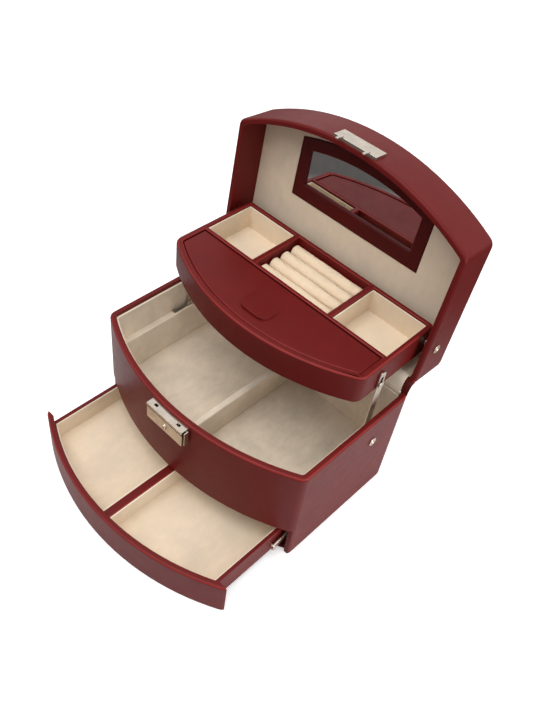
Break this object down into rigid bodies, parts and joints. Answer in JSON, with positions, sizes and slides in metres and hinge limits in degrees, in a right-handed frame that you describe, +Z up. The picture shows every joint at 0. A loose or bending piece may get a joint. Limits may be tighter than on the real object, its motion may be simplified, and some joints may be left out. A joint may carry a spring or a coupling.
{
  "type": "jewellery case",
  "caption": "Bow-fronted leather jewellery case: opening the lid lifts the ring tray and pushes the drawer out; mirror in the lid, velour compartments, latch at the front.",
  "frame": {"origin": "middle of the case's underside, under its 230 by 160 mm outline", "axes": "+X to the right, +Y from the bowed front to the hinged back, +Z up"},
  "size_m": [0.2324, 0.2871, 0.2811],
  "materials": {
    "red_leather": "smooth burgundy leather with a soft satin sheen",
    "dark_leather": "burgundy leather inside the case, satin",
    "velour": "beige short-pile velour",
    "roll_cloth": "cream velour over foam",
    "nickel": "polished nickel plating",
    "mirror": "silvered glass"
  },
  "bodies": {
    "case": {"case_shell": "red_leather", "base_board": "dark_leather", "main_floor": "velour", "side_board_left": "velour", "side_board_right": "velour", "main_divider": "velour", "main_lining": "velour", "rear_lining": "velour", "hinge_cover": "velour", "case_hinge_leaf": "nickel", "hinge_pin": "nickel", "latch_housing": "nickel", "lever_pivot_left": "nickel", "lever_pivot_right": "nickel"},
    "lid": {"lid_shell": "red_leather", "lid_panel": "velour", "lid_back_lining": "velour", "lid_hinge_leaf": "nickel", "mirror_frame": "dark_leather", "mirror_glass": "mirror", "lid_catch": "nickel", "tray_pivot_left": "nickel", "tray_pivot_right": "nickel"},
    "tray": {"tray_shell": "red_leather", "tray_lining_left": "velour", "tray_lining_right": "velour", "ring_bed": "roll_cloth", "ring_rolls": "roll_cloth", "tray_flap": "red_leather", "flap_tab": "red_leather", "guide_pin_left": "nickel", "guide_pin_right": "nickel"},
    "lever_left": {"lever_left": "nickel"},
    "lever_right": {"lever_right": "nickel"},
    "drawer": {"drawer_front": "red_leather", "drawer_box": "dark_leather", "drawer_lining_left": "velour", "drawer_lining_right": "velour", "drawer_divider": "dark_leather", "drawer_link_left": "nickel", "drawer_link_right": "nickel", "link_rivets": "nickel"},
    "latch_slider": {"latch_slider": "nickel"},
    "lock_cylinder": {"lock_cylinder": "nickel"}
  },
  "joints": [
    {"name": "lid_hinge", "type": "hinge", "parent": "case", "child": "lid", "pos_m": [0, 0.0838, 0.114], "axis": [1, 0, 0], "range_deg": [0, 95]},
    {"name": "tray_pivot", "type": "hinge", "parent": "lid", "child": "tray", "pos_m": [0, 0.09725, 0.15298], "axis": [1, 0, 0], "range_deg": [-95, 0]},
    {"name": "lever_left_pivot", "type": "hinge", "parent": "case", "child": "lever_left", "pos_m": [-0.1048, 0.0385, 0.082], "axis": [1, 0, 0], "range_deg": [0, 57.8]},
    {"name": "lever_right_pivot", "type": "hinge", "parent": "case", "child": "lever_right", "pos_m": [0.1048, 0.0385, 0.082], "axis": [1, 0, 0], "range_deg": [0, 57.8]},
    {"name": "drawer_slide", "type": "slide", "parent": "case", "child": "drawer", "axis": [0, 1, 0], "range_m": [0, 0.07228]},
    {"name": "latch_slide", "type": "slide", "parent": "case", "child": "latch_slider", "axis": [-1, 0, 0], "range_m": [0, 0.0025], "stiffness_N_per_m": 200},
    {"name": "lock_turn", "type": "hinge", "parent": "case", "child": "lock_cylinder", "pos_m": [0, -0.08608, 0.0945], "axis": [0, -1, 0], "range_deg": [0, 90]}
  ],
  "couplings": [
    {"joint": "tray_pivot", "follows": "lid_hinge", "ratio": -1},
    {"joint": "lever_left_pivot", "follows": "lid_hinge", "ratio": 0.608},
    {"joint": "lever_right_pivot", "follows": "lid_hinge", "ratio": 0.608},
    {"joint": "drawer_slide", "follows": "lid_hinge", "m_per_rad": 0.043565}
  ]
}
